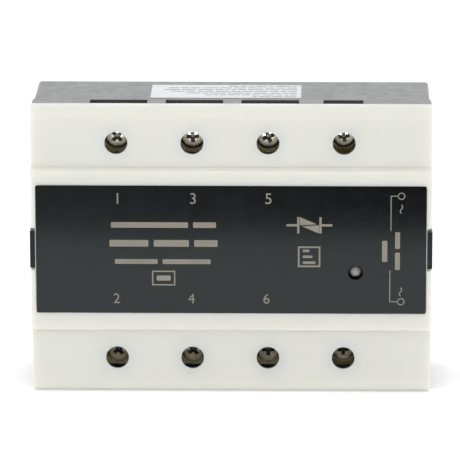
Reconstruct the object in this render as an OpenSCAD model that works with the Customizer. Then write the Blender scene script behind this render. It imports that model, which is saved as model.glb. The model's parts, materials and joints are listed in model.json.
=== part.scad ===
// Three-pole solid state relay for mounting on a heatsink.
// X runs to the right, Y to the back and Z up. The origin is the centre of the
// rear mounting face. Depths are given as t, the distance in front of that face,
// so that t = 10 is the plane y = -10.

/* [Body] */
// Width of the front cover
cover_w = 105; // [104:0.5:110]
// Height of the front cover
cover_h = 77.4; // [77:0.1:80]
// Depth from the mounting face to the raised front face
depth = 34.5; // [34.5:0.5:38]
// Wall thickness of the cover
cover_wall = 2; // [1.6:0.1:2.4]
// Radius of the cover's long front edges
edge_r = 3.7; // [3:0.1:4]
// Height of the raised block above the terminal faces
raise = 1.5; // [1:0.1:2]
// Width of the chamfer between the raised block and the terminal faces
raise_slope = 0.9; // [0.5:0.1:1.5]
// Lower edge of the raised block
raise_z0 = -20.8; // [-22:0.1:-19]
// Upper edge of the raised block
raise_z1 = 21.7; // [19:0.1:22]

/* [Label and lamp] */
// Width of the label plate
label_w = 102.2; // [98:0.1:102.2]
// Lower edge of the label plate
label_z0 = -16.4; // [-18:0.1:-14]
// Upper edge of the label plate
label_z1 = 18; // [14:0.1:19]
// Distance of the lamp to the right of the middle
lamp_x = 32.6; // [32:0.1:33]
// Height of the lamp
lamp_z = -5.3; // [-6:0.1:-5]
// Diameter of the lamp's hole
lamp_hole_d = 4; // [3.6:0.1:4.4]

/* [Terminals] */
// Distance between neighbouring terminals
terminal_pitch = 19.83; // [19.6:0.01:20]
// Shift of the terminal columns to the right
terminal_shift = -0.25; // [-0.5:0.05:0]
// Height of the terminal rows above and below the middle
terminal_z = 29; // [28.8:0.1:29.2]
// Diameter of the screwdriver holes
access_d = 6; // [5.6:0.1:6.2]
// Width of the wire openings of the power terminals
power_entry_w = 15; // [12:0.1:15.5]
// Width of the wire openings of the control terminals
control_entry_w = 10.4; // [8:0.1:12]
// Shift of the power terminals' wire openings to the right of their screws
power_entry_shift = 0.5; // [-0.6:0.1:0.6]
// Shift of the control terminals' wire openings to the right of their screws
control_entry_shift = -0.2; // [-1:0.1:1]
// Distance of the screws and washers in front of their clamped place
backed_out = 3; // [1:0.1:3.5]

/* [Mounting] */
// Distance between the mounting holes from left to right
mount_w = 92; // [91.5:0.1:92.5]
// Distance between the mounting holes from bottom to top
mount_h = 60; // [58:0.1:61]
// Diameter of the mounting holes
mount_d = 4.5; // [4.3:0.1:4.8]

/* [Hidden] */
$fn = 48;
gap = 0.02;

// Depth planes
plate_t = 3;
case_back_t = 0.4;
case_step_t = 22.6;
rim_t = 28.7;
entry_t = 24;
raised_t = depth;
label_seat_t = raised_t - 0.15;
face_t = raised_t - raise;
inner_t = face_t - cover_wall;
inner_raised_t = raised_t - cover_wall;

// Housing
case_w = cover_w - 1;
case_h = cover_h - 0.8;
strip_w = cover_w - 0.2;
strip_h = cover_h - 0.2;
case_wall = 2;
corner_r = 0.9;
cavity_w = 82;
cavity_h = 34;
corner_block = 4;
plate_w = case_w - 4;
plate_h = case_h - 4;
mount_seat_t = 8;
mount_seat_d = 10;
case_screw_x = 46.5;
case_screw_z = 9;
case_screw_d = 2.8;
case_screw_head_d = 5.6;
case_screw_len = 9;
case_screw_sink = 0.1;
end_pocket_x = [43, 50];
end_pocket_half_h = 22;
end_pocket_t = 12;

// Terminal wells
well_w = terminal_pitch - 2;
well_floor_t = 15.6;
well_z0 = 19.5;
well_z1 = case_h / 2 - case_wall;
barrier_t = 30.5;
access_rim = 0.8;
access_relief_d = access_d + 3;
screw_pocket_t = 7.5;
bar_thick = 1.5;
bar_t = well_floor_t + bar_thick;
bar_leg_z = 11.5;
power_bar_w = 12;
control_bar_w = 8;
control_riser_z = 13.2;
control_riser_top = 21.2;

// Screws as thread diameter, head diameter and head height
power_screw = [4, 7, 2.7];
control_screw = [3.5, 6.4, 2.5];
thread_clearance = 0.05;
shank_len = 10;
recess_depth = 1.6;

// Clamp plates as width and thickness, and the spring washers on them
power_plate = [10, 1.2];
control_plate = [8.4, 0.9];
spring_washer_h = 1;
clamp_t = bar_t + backed_out;
nut_h = 3.2;

// Turn of each screw's cross recess, in degrees
recess_turns = [45, 3, 22, 8, 38, 40, 0, 2];

// Power section
pole_x = [for (i = [0:2]) terminal_shift + (i - 1.5) * terminal_pitch];
ceramic = [18, 25.8, 0.9];
track_thick = 0.3;
chip = [7, 0.4];
chip_dx = 4.3;
strap_thick = 0.5;
gate_dz = 2.6;
gate_d = 0.8;
potting_t = 10;
ceramic_t = plate_t;
track_t = ceramic_t + ceramic[2];
chip_t = track_t + track_thick;
strap_t = chip_t + chip[1];

// Control board
board = [80, 32, 1.6];
board_t = 18;
board_front_t = board_t + board[2];
board_screw_x = 39;
board_screw_z = 15;
lamp_seat_t = 29.3;

// Side latches
latch_z0 = -4.4;
latch_z1 = 5.6;
latch_slot_z = [latch_z0 - 0.5, latch_z1 + 0.9];
latch_root_t = 15;
latch_tip_t = 34.1;
latch_hook_t = 32.5;
latch_x0 = 51.9;
latch_x1 = 52.7;
latch_hook_x = 51.35;

// Rating sticker on the top wall
sticker_x = [-21.4, 18.2];
sticker_t = [5, 20.6];
sticker_thick = 0.1;

// ---------- placing ----------

// Block between two corners, given as x, z and t ranges
module slab(x, z, t) {
    translate([x[0], -t[1], z[0]])
        cube([x[1] - x[0], t[1] - t[0], z[1] - z[0]]);
}

// Block centred on x and z
module block(x, z, w, h, t) {
    slab([x - w / 2, x + w / 2], [z - h / 2, z + h / 2], t);
}

// Round bar along the depth
module rod(x, z, d, t) {
    translate([x, -t[0], z])
        rotate([90, 0, 0])
            cylinder(d = d, h = t[1] - t[0]);
}

// Outline drawn in x and z, extruded along the depth
module front_extrude(t) {
    translate([0, -t[0], 0])
        rotate([90, 0, 0])
            linear_extrude(height = t[1] - t[0])
                children();
}

// Outline drawn in t and z, extruded along X
module side_extrude(x) {
    translate([x[1], 0, 0])
        rotate([90, 0, -90])
            linear_extrude(height = x[1] - x[0])
                children();
}

// Shape drawn on the axis of a terminal, standing towards the front
module at_terminal(i) {
    translate([column_x(i), 0, row_z(i)])
        rotate([90, 0, 0])
            children();
}

module mirror_pair() {
    children();
    mirror([1, 0, 0])
        children();
}

module four_corners(dx, dz) {
    for (sx = [-1, 1], sz = [-1, 1])
        translate([sx * dx, 0, sz * dz])
            children();
}

// ---------- outlines ----------

module rounded_rect(w, h, r) {
    square([w - 2 * r, h], center = true);
    square([w, h - 2 * r], center = true);
    for (sx = [-1, 1], sy = [-1, 1])
        translate([sx * (w / 2 - r), sy * (h / 2 - r)])
            circle(r = r);
}

// Section of the cover across its long edges, without the raised block
module cover_section(t_front, half_h, r, t_back) {
    translate([t_back, -half_h])
        square([t_front - r - t_back, 2 * half_h]);
    translate([t_back, -half_h + r])
        square([t_front - t_back, 2 * (half_h - r)]);
    for (s = [-1, 1])
        translate([t_front - r, s * (half_h - r)])
            circle(r = r);
}

// Section of the raised block, with sloping long edges
module raised_section(t_front, t_back, z0, z1, slope) {
    polygon([
        [t_back, z0 - slope], [t_front, z0], [t_front, z1], [t_back, z1 + slope],
        [t_back - 1, z1 + slope], [t_back - 1, z0 - slope]
    ]);
}

// Plan of a front whose side edges are rounded
module plan(w, t_front, r) {
    translate([-w / 2, -t_front + r])
        square([w, t_front - r]);
    translate([-w / 2 + r, -t_front])
        square([w - 2 * r, t_front]);
    for (s = [-1, 1])
        translate([s * (w / 2 - r), -t_front + r])
            circle(r = r);
}

// ---------- terminals ----------

// Terminals 0 to 3 are the upper row from left to right, 4 to 7 the lower row.
// The last one of each row belongs to the control input.
function column_x(i) = terminal_shift + (i % 4 - 1.5) * terminal_pitch;
function row_sign(i) = i < 4 ? 1 : -1;
function row_z(i) = row_sign(i) * terminal_z;
function is_control(i) = i % 4 == 3;
function screw(i) = is_control(i) ? control_screw : power_screw;
function clamp_plate(i) = is_control(i) ? control_plate : power_plate;
function washer_t(i) = clamp_t + clamp_plate(i)[1] + gap;
function head_t(i) = washer_t(i) + spring_washer_h;
function entry_w(i) = is_control(i) ? control_entry_w : power_entry_w;
function entry_x(i) = column_x(i) + (is_control(i) ? control_entry_shift : power_entry_shift);

// Z range in a row, mirrored for the lower row
function row_range(i, z0, z1) = row_sign(i) > 0 ? [z0, z1] : [-z1, -z0];

// ---------- base ----------

module base_plate() {
    color("lightgray")
        difference() {
            front_extrude([0, plate_t])
                rounded_rect(plate_w, plate_h, corner_r);
            mounting_holes([-1, plate_t + 1], mount_d);
            housing_screw_shapes();
        }
}

module mounting_holes(t, d) {
    four_corners(mount_w / 2, mount_h / 2)
        rod(0, 0, d, t);
}

// Countersunk screws through the base plate into the housing
module housing_screw_shapes() {
    four_corners(case_screw_x, case_screw_z)
        rotate([90, 0, 0]) {
            translate([0, 0, case_screw_sink])
                cylinder(d1 = case_screw_head_d, d2 = case_screw_d, h = 1.5);
            cylinder(d = case_screw_head_d, h = case_screw_sink);
            cylinder(d = case_screw_d, h = case_screw_len);
        }
}

module housing_screws() {
    color("silver")
        difference() {
            housing_screw_shapes();
            four_corners(case_screw_x, case_screw_z) {
                rod(0, 0, case_screw_head_d + 1, [-1, case_screw_sink]);
                for (turn = [0, 90])
                    rotate([0, turn, 0])
                        block(0, 0, 3, 0.6, [-1, 1]);
            }
        }
}

module base_housing() {
    color("dimgray")
        difference() {
            union() {
                housing_walls();
                terminal_barriers();
            }
            for (i = [0:7])
                wire_entry(i);
            latch_channels();
            moulding_notch();
        }
}

module housing_walls() {
    difference() {
        union() {
            front_extrude([case_back_t, case_step_t])
                rounded_rect(case_w, case_h, corner_r);
            front_extrude([case_step_t, rim_t])
                rounded_rect(strip_w, strip_h, corner_r);
        }
        front_extrude([-1, plate_t])
            rounded_rect(plate_w, plate_h, corner_r);
        central_cavity();
        for (i = [0:7])
            terminal_well(i);
        mirror_pair()
            side_pocket();
        mounting_holes([-1, rim_t + 1], mount_d);
        mounting_holes([mount_seat_t, rim_t + 1], mount_seat_d);
        housing_screw_shapes();
    }
}

// Cavity for the power section and the control board, with seats in its corners
module central_cavity() {
    difference() {
        block(0, 0, cavity_w, cavity_h, [plate_t - 1, rim_t + 1]);
        four_corners((cavity_w - corner_block) / 2, (cavity_h - corner_block) / 2)
            block(0, 0, corner_block + gap, corner_block + gap, [0, board_t]);
    }
    four_corners(board_screw_x, board_screw_z)
        rod(0, 0, 1.6, [board_t - 5, board_t + 1]);
}

module terminal_well(i) {
    x = column_x(i);
    slot_w = is_control(i) ? control_bar_w : power_bar_w;
    slot_z = cavity_h / 2 - 0.1;
    slab([x - well_w / 2, x + well_w / 2], row_range(i, well_z0, well_z1), [well_floor_t, rim_t + 1]);
    slab([x - slot_w / 2, x + slot_w / 2], row_range(i, slot_z, well_z0 + 0.1), [well_floor_t, bar_t]);
    at_terminal(i) {
        translate([0, 0, well_floor_t - nut_h])
            cylinder(d = nut_corner_d(i), h = nut_h + 1, $fn = 6);
        translate([0, 0, screw_pocket_t])
            cylinder(d = screw(i)[0] + 1, h = well_floor_t - screw_pocket_t);
    }
}

// Ribs between the wells, which reach up inside the cover
module terminal_barriers() {
    rib = terminal_pitch - well_w;
    for (s = [-1, 1], k = [0:2])
        block(terminal_shift + (k - 1) * terminal_pitch, s * (well_z0 + well_z1) / 2,
              rib, well_z1 - well_z0 - 1.2, [rim_t - 1, barrier_t]);
}

module wire_entry(i) {
    x = entry_x(i);
    w = entry_w(i);
    slab([x - w / 2, x + w / 2], row_range(i, well_z1 - 1, cover_h), [entry_t, rim_t + 1]);
}

// Open pocket in each end, between the mounting holes
module side_pocket() {
    slab(end_pocket_x, [-end_pocket_half_h, end_pocket_half_h], [end_pocket_t, rim_t + 1]);
}

// Channel for a latch, wider at its root
module latch_channels() {
    mirror_pair() {
        slab([latch_x0 - 0.5, cover_w], latch_slot_z, [latch_root_t + 4, rim_t + 1]);
        slab([latch_x0 - 0.5, cover_w], [latch_z0, latch_z1], [latch_root_t, latch_root_t + 5]);
    }
}

// Small cut beside the first wire opening
module moulding_notch() {
    x = entry_x(0) - power_entry_w / 2 - 0.6;
    slab([x - 0.4, x], [case_h / 2 - 0.5, cover_h], [case_step_t - 0.1, case_step_t + 0.9]);
}

// ---------- power section ----------

module ceramic_substrates() {
    color("whitesmoke")
        for (x = pole_x)
            block(x, 0, ceramic[0], ceramic[1], [ceramic_t, track_t]);
}

module copper_tracks() {
    color("peru")
        for (x = pole_x) {
            block(x, 0, 16.5, 10.5, [track_t, chip_t]);
            for (s = [-1, 1])
                block(x, s * 9.7, 16.5, 6.2, [track_t, chip_t]);
        }
}

module thyristor_chips() {
    color("slategray")
        for (x = pole_x, s = [-1, 1])
            block(x + s * chip_dx, 0, chip[0], chip[0], [chip_t, strap_t]);
}

// Straps from each chip to the track on its own side
module chip_straps() {
    width = 4;
    foot = 1.5;
    foot_z = 7.3;
    color("chocolate")
        for (x = pole_x, s = [-1, 1]) {
            far = s * (foot_z + foot);
            near = -s * 1;
            xs = [x + s * chip_dx - width / 2, x + s * chip_dx + width / 2];
            slab(xs, [min(near, far), max(near, far)], [strap_t, strap_t + strap_thick]);
            slab(xs, [min(s * foot_z, far), max(s * foot_z, far)], [chip_t, strap_t + strap_thick]);
        }
}

module gate_leads() {
    color("silver")
        for (x = pole_x, s = [-1, 1])
            rod(x + s * chip_dx, -s * gate_dz, gate_d, [strap_t, board_front_t + 1]);
}

module potting_compound() {
    color("gainsboro")
        difference() {
            block(0, 0, cavity_w, cavity_h, [plate_t, potting_t]);
            four_corners((cavity_w - corner_block) / 2, (cavity_h - corner_block) / 2)
                block(0, 0, corner_block + gap, corner_block + gap, [0, board_t]);
            ceramic_substrates();
            copper_tracks();
            thyristor_chips();
            chip_straps();
            gate_leads();
            for (i = [0, 1, 2, 4, 5, 6])
                power_bar(i);
        }
}

// Power bar: the pad in its well, a leg down to the substrate and a foot on the track
module power_bar(i) {
    x = column_x(i);
    xs = [x - power_bar_w / 2, x + power_bar_w / 2];
    foot = 3.4;
    foot_thick = 1.2;
    color("darkkhaki")
        difference() {
            union() {
                slab(xs, row_range(i, bar_leg_z, well_z1 - 1), [well_floor_t, bar_t]);
                slab(xs, row_range(i, bar_leg_z, bar_leg_z + bar_thick), [chip_t, bar_t]);
                slab(xs, row_range(i, bar_leg_z + bar_thick - foot, bar_leg_z + bar_thick),
                     [chip_t, chip_t + foot_thick]);
            }
            bar_hole(i);
            pad_grooves(i);
        }
}

// Control bar: the pad in its well and a riser that passes through the board
module control_bar(i) {
    x = column_x(i);
    xs = [x - control_bar_w / 2, x + control_bar_w / 2];
    color("darkkhaki")
        difference() {
            union() {
                slab(xs, row_range(i, control_riser_z, well_z1 - 1), [well_floor_t, bar_t]);
                slab([x - 2, x + 2], row_range(i, control_riser_z, control_riser_z + bar_thick),
                     [well_floor_t, control_riser_top]);
            }
            bar_hole(i);
            pad_grooves(i);
        }
}

module bar_hole(i) {
    at_terminal(i)
        translate([0, 0, well_floor_t - 1])
            cylinder(d = screw(i)[0], h = bar_thick + 2);
}

// Shallow grooves across the pad that grip the wire
module pad_grooves(i) {
    w = is_control(i) ? control_bar_w : power_bar_w;
    for (k = [0:2])
        block(column_x(i), row_sign(i) * (terminal_z - 4.5 + k * 0.9), w + 1, 0.4, [bar_t - 0.2, bar_t + 1]);
    for (k = [0:2])
        block(column_x(i), row_sign(i) * (terminal_z + 2.8 + k * 0.9), w + 1, 0.4, [bar_t - 0.2, bar_t + 1]);
}

function nut_corner_d(i) = (is_control(i) ? 6 : 7) / cos(30);

module nut(i) {
    at_terminal(i)
        translate([0, 0, well_floor_t - nut_h])
            difference() {
                cylinder(d = nut_corner_d(i), h = nut_h, $fn = 6);
                translate([0, 0, -1])
                    cylinder(d = screw(i)[0], h = nut_h + 2);
            }
}

module power_nuts() {
    color("silver")
        for (i = [0, 1, 2, 4, 5, 6])
            nut(i);
}

module control_nuts() {
    color("silver")
        for (i = [3, 7])
            nut(i);
}

// ---------- control board ----------

module control_board() {
    color("darkgreen")
        difference() {
            block(0, 0, board[0], board[1], [board_t, board_front_t]);
            for (x = pole_x, s = [-1, 1])
                rod(x + s * chip_dx, -s * gate_dz, gate_d, [board_t - 1, board_front_t + 1]);
            for (i = [3, 7])
                slab([column_x(i) - 2, column_x(i) + 2],
                     row_range(i, control_riser_z, control_riser_z + bar_thick),
                     [board_t - 1, board_front_t + 1]);
            four_corners(board_screw_x, board_screw_z)
                rod(0, 0, 1.6, [board_t - 1, board_front_t + 1]);
        }
}

module board_screws() {
    color("silver")
        four_corners(board_screw_x, board_screw_z) {
            rod(0, 0, 1.6, [board_t - 5, board_front_t + 0.5]);
            rod(0, 0, 3.2, [board_front_t, board_front_t + 1.3]);
        }
}

module optocouplers() {
    color("#303030")
        for (x = pole_x) {
            block(x - 3.6, -8.2, 8.8, 6.4, [board_front_t + 0.6, board_front_t + 4]);
            for (k = [-1:1], s = [-1, 1])
                block(x - 3.6 + k * 2.54, -8.2 + s * 3.3, 0.6, 0.6, [board_front_t, board_front_t + 2]);
        }
}

module snubber_capacitors() {
    color("goldenrod")
        for (x = pole_x)
            block(x, 10.4, 13, 5, [board_front_t, board_front_t + 9.5]);
}

module snubber_resistors() {
    color("lightblue")
        for (x = pole_x) {
            translate([x - 5, -board_front_t - 1.9, 5.4])
                rotate([0, 90, 0])
                    cylinder(d = 3.6, h = 10);
            for (s = [-1, 1])
                block(x + s * 5.6, 5.4, 1.4, 0.7, [board_front_t, board_front_t + 2.2]);
        }
}

module varistors() {
    disc_d = 9;
    disc_h = 3.6;
    disc_t = board_front_t + 5.2;
    color("royalblue")
        for (x = pole_x) {
            translate([x + 3.6, -disc_t, -8.2])
                rotate([0, 90, 0])
                    cylinder(d = disc_d, h = disc_h);
            for (s = [-1, 1])
                block(x + 3.6 + disc_h / 2, -8.2 + s * 2.5, 0.7, 0.7, [board_front_t, disc_t - 2]);
        }
}

module bridge_rectifier() {
    color("#282828")
        block(25.4, 7.5, 6.4, 8.4, [board_front_t, board_front_t + 3.4]);
}

module smoothing_capacitor() {
    color("midnightblue")
        rod(35.6, 6.6, 6.3, [board_front_t, board_front_t + 9]);
}

module control_transistor() {
    x = 25.6;
    z = -9.5;
    color("#282828") {
        difference() {
            rod(x, z, 4.8, [board_front_t + 2, board_front_t + 6.8]);
            block(x, z - 3.1, 6, 3, [board_front_t, board_front_t + 8]);
        }
        for (k = [-1:1])
            block(x + k * 1.3, z, 0.5, 0.5, [board_front_t, board_front_t + 2.5]);
    }
}

module zener_diode() {
    x = 35.2;
    z = -11;
    color("orangered") {
        translate([x, -board_front_t - 1.1, z])
            rotate([0, 90, 0])
                cylinder(d = 2, h = 4);
        for (dx = [-0.3, 4.3])
            block(x + dx, z, 0.7, 0.6, [board_front_t, board_front_t + 1.4]);
    }
}

module input_resistors() {
    z0 = -4.5;
    length = 6.4;
    color("tan")
        for (x = [23.2, 27]) {
            translate([x, -board_front_t - 1.3, z0])
                cylinder(d = 2.4, h = length);
            for (z = [z0 - 0.3, z0 + length + 0.3])
                block(x, z, 0.6, 0.7, [board_front_t, board_front_t + 1.6]);
        }
}

// Lamp with its flange, held at the height of the cover by a spacer
module indicator_lamp() {
    lens_r = 1.5;
    color("lightgray")
        translate([lamp_x, -lamp_seat_t, lamp_z])
            rotate([90, 0, 0]) {
                cylinder(d = 3.7, h = 1);
                cylinder(r = lens_r, h = 3.2);
                translate([0, 0, 3.2])
                    sphere(r = lens_r);
            }
}

module lamp_spacer() {
    color("white")
        difference() {
            rod(lamp_x, lamp_z, 4.6, [board_front_t, lamp_seat_t]);
            rod(lamp_x, lamp_z, 2.6, [board_front_t - 1, lamp_seat_t + 1]);
        }
}

// ---------- latches and sticker ----------

// Springy tongue with a root in the housing and a hook over the cover's ledge
module latch(side) {
    color("dimgray")
        mirror([side > 0 ? 0 : 1, 0, 0]) {
            slab([latch_x0 - 0.5, latch_x1], [latch_z0, latch_z1], [latch_root_t, latch_root_t + 4]);
            slab([latch_x0, latch_x1], [latch_z0, latch_z1], [latch_root_t, latch_tip_t]);
            slab([latch_hook_x, latch_x1], [latch_z0, latch_z1], [latch_hook_t, latch_tip_t]);
        }
}

module rating_sticker() {
    color("white")
        slab(sticker_x, [case_h / 2, case_h / 2 + sticker_thick], sticker_t);
}

// ---------- cover ----------

module front_cover() {
    color("ivory")
        difference() {
            cover_outside();
            cover_inside();
            for (i = [0:7])
                access_hole(i);
            rod(lamp_x, lamp_z, lamp_hole_d, [inner_t - 1, raised_t + 1]);
            slab([-label_w / 2, label_w / 2], [label_z0, label_z1], [label_seat_t, raised_t + 1]);
            mirror_pair() {
                slab([latch_x0 - 0.05, cover_w], latch_slot_z, [rim_t - 1, raised_t + 1]);
                slab([latch_hook_x - 0.05, cover_w], latch_slot_z, [latch_hook_t, raised_t + 1]);
            }
        }
    color("ivory")
        mirror_pair()
            for (z = [-14, 9])
                slab([end_pocket_x[1] - 1.3, end_pocket_x[1] - 0.2], [z, z + 6], [rim_t - 3, inner_t + 0.5]);
}

// Screwdriver hole, with the wall around it thinned from the inside
module access_hole(i) {
    rod(column_x(i), row_z(i), access_d, [inner_t - 1, raised_t + 1]);
    rod(column_x(i), row_z(i), access_relief_d, [inner_t - 1, face_t - access_rim]);
}

module cover_outside() {
    intersection() {
        side_extrude([-cover_w / 2, cover_w / 2])
            cover_section(face_t, cover_h / 2, edge_r, rim_t);
        front_extrude([rim_t, raised_t])
            rounded_rect(cover_w, cover_h, corner_r);
        translate([0, 0, -cover_h])
            linear_extrude(height = 2 * cover_h)
                plan(cover_w, face_t, corner_r);
    }
    intersection() {
        side_extrude([-cover_w / 2, cover_w / 2])
            raised_section(raised_t, face_t, raise_z0, raise_z1, raise_slope);
        translate([0, 0, -cover_h])
            linear_extrude(height = 2 * cover_h)
                plan(cover_w, raised_t, corner_r);
    }
}

module cover_inside() {
    half = cover_w / 2 - cover_wall;
    side_extrude([-half, half])
        cover_section(inner_t, cover_h / 2 - cover_wall, edge_r - cover_wall, rim_t - 1);
    side_extrude([-half + 1, half - 1])
        raised_section(inner_raised_t, inner_t, raise_z0 + cover_wall, raise_z1 - cover_wall, raise_slope);
}

module label_plate() {
    color("#202222")
        difference() {
            front_extrude([label_seat_t, raised_t + 0.1])
                translate([0, (label_z0 + label_z1) / 2])
                    rounded_rect(label_w, label_z1 - label_z0, 0.6);
            rod(lamp_x, lamp_z, lamp_hole_d, [inner_t, raised_t + 1]);
        }
}

// ---------- screws and washers ----------

// Pan head with a cross recess on a plain shank, along +Z from its underside
module pan_screw(size, turn) {
    thread_d = size[0];
    head_d = size[1];
    head_h = size[2];
    rim_h = head_h / 2;
    crown_h = head_h - rim_h;
    crown_r = (pow(head_d / 2, 2) + pow(crown_h, 2)) / (2 * crown_h);
    arm_reach = head_d * 0.27;
    arm_w = 1;
    difference() {
        intersection() {
            cylinder(d = head_d, h = head_h + 1);
            translate([0, 0, head_h - crown_r])
                sphere(r = crown_r, $fn = 96);
        }
        for (a = [turn, turn + 90])
            rotate([0, 0, a])
                translate([-arm_reach, -arm_w / 2, head_h - recess_depth])
                    cube([2 * arm_reach, arm_w, head_h]);
    }
    translate([0, 0, -shank_len])
        cylinder(r = thread_d / 2 - thread_clearance, h = shank_len + 0.5);
}

module terminal_screw(i) {
    color("silver")
        at_terminal(i)
            translate([0, 0, head_t(i)])
                pan_screw(screw(i), recess_turns[i]);
}

// Clamp plate against the wire and a split spring washer under the head
module clamp_washers(i) {
    plate = clamp_plate(i);
    bore_d = screw(i)[0] + 0.1;
    color("gainsboro")
        at_terminal(i) {
            translate([0, 0, clamp_t])
                difference() {
                    if (is_control(i))
                        cylinder(d = plate[0], h = plate[1]);
                    else
                        linear_extrude(height = plate[1])
                            rounded_rect(plate[0], plate[0], 1);
                    translate([0, 0, -1])
                        cylinder(d = bore_d, h = plate[1] + 2);
                }
            translate([0, 0, washer_t(i)])
                difference() {
                    cylinder(d = screw(i)[1] - 0.8, h = spring_washer_h);
                    translate([0, 0, -1])
                        cylinder(d = bore_d, h = spring_washer_h + 2);
                    rotate([0, 0, 30])
                        translate([0, -0.3, -1])
                            cube([screw(i)[1], 0.6, spring_washer_h + 2]);
                }
        }
}

base_plate();
base_housing();
housing_screws();
ceramic_substrates();
copper_tracks();
thyristor_chips();
chip_straps();
gate_leads();
potting_compound();
power_bar(0);  // terminal_bar_1
power_bar(1);  // terminal_bar_3
power_bar(2);  // terminal_bar_5
power_bar(4);  // terminal_bar_2
power_bar(5);  // terminal_bar_4
power_bar(6);  // terminal_bar_6
control_bar(3);  // control_bar_1
control_bar(7);  // control_bar_2
power_nuts();
control_nuts();
control_board();
board_screws();
optocouplers();
snubber_capacitors();
snubber_resistors();
varistors();
bridge_rectifier();
smoothing_capacitor();
control_transistor();
zener_diode();
input_resistors();
indicator_lamp();
lamp_spacer();
latch(-1);  // latch_left
latch(1);  // latch_right
rating_sticker();
front_cover();
label_plate();
terminal_screw(0);  // terminal_screw_1
terminal_screw(1);  // terminal_screw_3
terminal_screw(2);  // terminal_screw_5
terminal_screw(4);  // terminal_screw_2
terminal_screw(5);  // terminal_screw_4
terminal_screw(6);  // terminal_screw_6
terminal_screw(3);  // control_screw_1
terminal_screw(7);  // control_screw_2
clamp_washers(0);  // clamp_washers_1
clamp_washers(1);  // clamp_washers_3
clamp_washers(2);  // clamp_washers_5
clamp_washers(4);  // clamp_washers_2
clamp_washers(5);  // clamp_washers_4
clamp_washers(6);  // clamp_washers_6
clamp_washers(3);  // control_washers_1
clamp_washers(7);  // control_washers_2
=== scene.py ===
"""Looks of a three-pole solid state relay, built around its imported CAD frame.

The frame is the CAD frame in metres: X right, Y to the back, Z up. A depth in front
of the mounting face is written as t, so t = 10 mm is the plane y = -0.010.
"""

import json
import math

import bmesh
import bpy
from mathutils import Matrix, Vector

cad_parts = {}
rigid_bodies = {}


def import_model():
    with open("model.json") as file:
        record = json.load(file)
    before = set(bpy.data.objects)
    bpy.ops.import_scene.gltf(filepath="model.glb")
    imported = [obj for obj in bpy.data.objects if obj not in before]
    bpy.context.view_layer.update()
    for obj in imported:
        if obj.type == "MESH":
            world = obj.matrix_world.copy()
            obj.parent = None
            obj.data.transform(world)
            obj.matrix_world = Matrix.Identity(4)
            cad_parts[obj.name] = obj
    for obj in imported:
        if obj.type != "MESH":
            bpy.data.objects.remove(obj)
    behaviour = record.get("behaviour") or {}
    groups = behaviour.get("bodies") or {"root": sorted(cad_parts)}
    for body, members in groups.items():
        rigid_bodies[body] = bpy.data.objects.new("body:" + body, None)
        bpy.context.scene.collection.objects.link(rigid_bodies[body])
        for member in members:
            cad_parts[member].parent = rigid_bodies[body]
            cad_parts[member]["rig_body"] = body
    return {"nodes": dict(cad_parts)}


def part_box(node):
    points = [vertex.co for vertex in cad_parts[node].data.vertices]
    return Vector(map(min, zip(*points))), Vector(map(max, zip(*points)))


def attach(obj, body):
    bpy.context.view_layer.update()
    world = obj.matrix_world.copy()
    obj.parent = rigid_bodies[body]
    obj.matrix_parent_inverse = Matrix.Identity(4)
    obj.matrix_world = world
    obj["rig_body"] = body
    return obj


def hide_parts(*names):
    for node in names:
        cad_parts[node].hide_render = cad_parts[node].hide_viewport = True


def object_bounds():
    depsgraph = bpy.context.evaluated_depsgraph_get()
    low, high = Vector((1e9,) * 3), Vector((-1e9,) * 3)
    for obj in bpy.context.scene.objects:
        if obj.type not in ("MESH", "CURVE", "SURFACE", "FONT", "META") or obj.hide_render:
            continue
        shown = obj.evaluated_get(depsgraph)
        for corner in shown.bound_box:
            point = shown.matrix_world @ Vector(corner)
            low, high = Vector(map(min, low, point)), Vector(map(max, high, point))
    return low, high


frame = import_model()
cad_box = [list(corner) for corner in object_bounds()]
nodes = frame["nodes"]

MM = 0.001
FLOOR_Z = cad_box[0][2]

# Camera: distance and lens of a long studio lens, and the turn and tilt of the view
CAMERA_DISTANCE = 1.2
CAMERA_LENS = 353.3
CAMERA_AZIMUTH = 1.2
CAMERA_ELEVATION = 14.3
CAMERA_ROLL = -0.1
CAMERA_TARGET = Vector((-0.65, -15.0, 1.16)) * MM

# Studio light: strength of the white surroundings in front and behind, and glow of the floor
FRONT_LIGHT = 0.735
BACK_LIGHT = 1.38
FLOOR_GLOW = 0.22
# Soft boxes: name, power, place, width and height, and the screw row it lights alone, if any
SOFT_BOXES = (
    ("soft_box_high", 1.05, (-0.15, -0.42, 0.75), (0.9, 0.6), None),
    ("soft_box_front", 0.9, (-0.06, -0.85, 0.41), (0.36, 0.24), None),
    ("spot_upper_row", 2.6, (-0.02, -0.50, -0.005), (0.34, 0.06), "upper"),
    ("spot_lower_row", 0.30, (0.08, -0.50, 0.0), (0.16, 0.06), "lower"),
)
LIGHT_AIM = Vector((0, -0.01, 0))
# Plans of the floor and of the dark card in front of the relay
FLOOR_CORNERS = ((-3, -3), (3, -3), (3, 3), (-3, 3))
CARD_CORNERS = ((-2, -2.5), (2, -2.5), (2, -0.205), (-2, -0.208))

POWER_TERMINALS = ("1", "3", "5", "2", "4", "6")
CONTROL_TERMINALS = ("1", "2")

# Turn of each screw's cross recess in degrees
RECESS_TURNS = {
    "terminal_screw_1": 45,
    "terminal_screw_3": 3,
    "terminal_screw_5": 22,
    "control_screw_1": 8,
    "terminal_screw_2": 38,
    "terminal_screw_4": 40,
    "terminal_screw_6": 0,
    "control_screw_2": 2,
}


# ---------- materials ----------

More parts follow.
